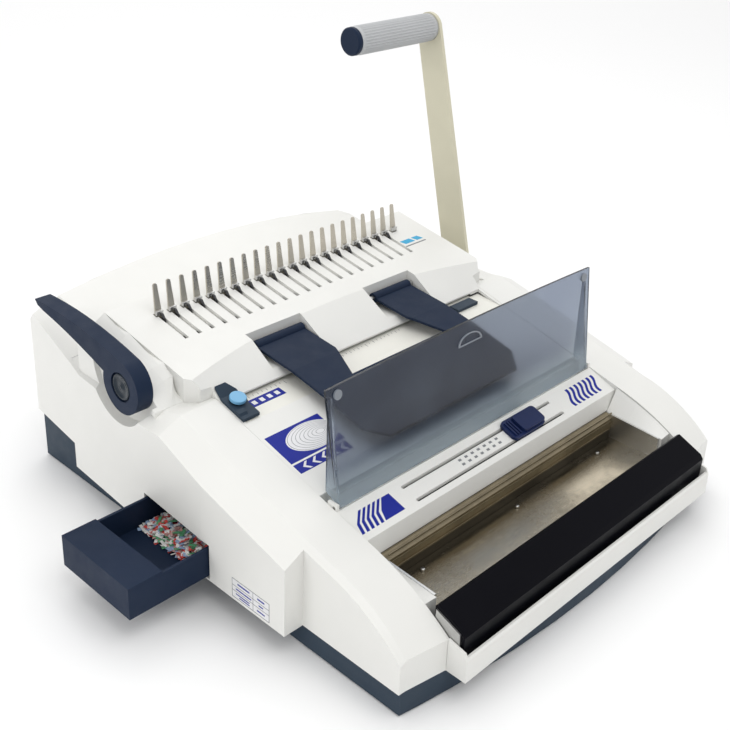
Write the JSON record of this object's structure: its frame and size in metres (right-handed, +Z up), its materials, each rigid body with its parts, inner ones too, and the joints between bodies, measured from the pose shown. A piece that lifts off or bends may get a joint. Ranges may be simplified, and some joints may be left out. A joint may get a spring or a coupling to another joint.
{
  "type": "comb binding machine",
  "caption": "Manual desktop punch and binding machine with a comb opener, a wire closer, a side punch handle and a chip drawer.",
  "frame": {"origin": "centre of the middle foot's underside, on the plane that the machine rests on", "axes": "+X to the operator's right, +Y to the back, +Z up"},
  "size_m": [0.542, 0.4827, 0.3789],
  "materials": {
    "casing": "matte",
    "navy": "satin",
    "slate": "satin",
    "smoked": "gloss",
    "steel": "satin",
    "zinc": "satin",
    "finger_steel": "satin",
    "dark_steel": "satin",
    "beige_paint": "satin",
    "grip_plastic": "satin",
    "ruler_plastic": "satin",
    "button_blue": "gloss",
    "bronze": "satin",
    "rubber": "matte",
    "black_gloss": "gloss",
    "tray_steel": "satin",
    "paper": "matte"
  },
  "bodies": {
    "machine": {"left_side_cover": "casing", "right_side_cover": "casing", "top_cover": "casing", "rear_cover": "casing", "base_tray": "slate", "front_panel": "casing", "front_lip": "casing", "ruler_plate": "ruler_plastic", "left_frame_plate": "zinc", "right_frame_plate": "zinc", "tie_bars": "steel", "shaft_bushes": "bronze", "die_block": "steel", "pin_guide": "steel", "comb_finger_plate": "finger_steel", "rake_rails": "steel", "idler_pin": "steel", "lever_bush": "bronze", "rest_hinge_pins": "steel", "cover_hinge_blocks": "casing", "tray_floor": "tray_steel", "anvil_bar": "zinc", "tray_side_plates": "zinc", "tray_cheeks": "casing", "press_pivot_pins": "steel", "press_return_springs": "dark_steel", "chip_chute": "zinc", "drawer_rails": "zinc", "base_feet": "rubber", "casing_screws": "zinc"},
    "punch_handle": {"handle_arm": "beige_paint", "handle_grip": "grip_plastic", "grip_cap": "navy", "main_shaft": "steel", "eccentric_cams": "dark_steel"},
    "punch_ram": {"punch_pins": "steel", "ram_bar": "steel", "ram_links": "zinc"},
    "comb_lever_assembly": {"comb_lever": "slate", "lever_cap": "slate", "lever_shaft": "steel", "sector_gear": "zinc"},
    "idler": {"idler_gear": "zinc"},
    "hook_rake": {"comb_rake": "dark_steel", "rake_rack": "zinc"},
    "paper_rest_assembly": {"paper_rest": "navy", "rest_bumpers": "rubber"},
    "cover_assembly": {"smoked_cover": "smoked", "cover_pads": "rubber", "cover_hinge_pins": "steel"},
    "guide_assembly": {"edge_guide": "slate"},
    "guide_release": {"guide_button": "button_blue"},
    "depth_stop": {"depth_tab": "slate"},
    "selector": {"size_selector": "navy"},
    "press": {"press_bar": "black_gloss", "press_arms": "zinc", "closing_jaw": "steel"},
    "drawer": {"chip_drawer": "navy", "paper_chips": "paper"}
  },
  "joints": [
    {"name": "punch_stroke", "type": "hinge", "parent": "machine", "child": "punch_handle", "pos_m": [0, 0.131, 0.088], "axis": [1, 0, 0], "range_deg": [0, 72]},
    {"name": "ram_stroke", "type": "slide", "parent": "machine", "child": "punch_ram", "axis": [0, 0, -1], "range_m": [0, 0.006]},
    {"name": "comb_opening", "type": "hinge", "parent": "machine", "child": "comb_lever_assembly", "pos_m": [0, 0.1055, 0.1466], "axis": [1, 0, 0], "range_deg": [0, 100]},
    {"name": "idler_turn", "type": "hinge", "parent": "machine", "child": "idler", "pos_m": [0, 0.1055, 0.1226], "axis": [1, 0, 0], "range_deg": [-167, 0]},
    {"name": "rake_slide", "type": "slide", "parent": "machine", "child": "hook_rake", "axis": [0, -0.9842, -0.1772], "range_m": [0, 0.0263]},
    {"name": "paper_rest_fold", "type": "hinge", "parent": "machine", "child": "paper_rest_assembly", "pos_m": [0, 0.089, 0.145], "axis": [1, 0, 0], "range_deg": [-105, 0]},
    {"name": "cover_tilt", "type": "hinge", "parent": "machine", "child": "cover_assembly", "pos_m": [0, -0.082, 0.0986], "axis": [1, 0, 0], "range_deg": [-8, 72]},
    {"name": "edge_guide_slide", "type": "slide", "parent": "machine", "child": "guide_assembly", "axis": [1, 0, 0], "range_m": [0, 0.03]},
    {"name": "guide_button_press", "type": "slide", "parent": "guide_assembly", "child": "guide_release", "axis": [0, 0.2534, -0.9673], "range_m": [0, 0.0008], "stiffness_N_per_m": 300},
    {"name": "depth_tab_slide", "type": "slide", "parent": "machine", "child": "depth_stop", "axis": [1, 0, 0], "range_m": [-0.02, 0.008]},
    {"name": "size_selector_slide", "type": "slide", "parent": "machine", "child": "selector", "axis": [1, 0, 0], "range_m": [-0.125, 0.024]},
    {"name": "press_stroke", "type": "hinge", "parent": "machine", "child": "press", "pos_m": [0, -0.1, 0.027], "axis": [1, 0, 0], "range_deg": [0, 4.5], "stiffness_Nm_per_rad": 20, "springref_deg": -2.86},
    {"name": "drawer_slide", "type": "slide", "parent": "machine", "child": "drawer", "axis": [1, 0, 0], "range_m": [-0.05, 0.07]}
  ],
  "couplings": [
    {"joint": "ram_stroke", "follows": "punch_stroke", "m_per_rad": 0.0045},
    {"joint": "idler_turn", "follows": "comb_opening", "ratio": -1.6667},
    {"joint": "rake_slide", "follows": "comb_opening", "m_per_rad": 0.015}
  ]
}
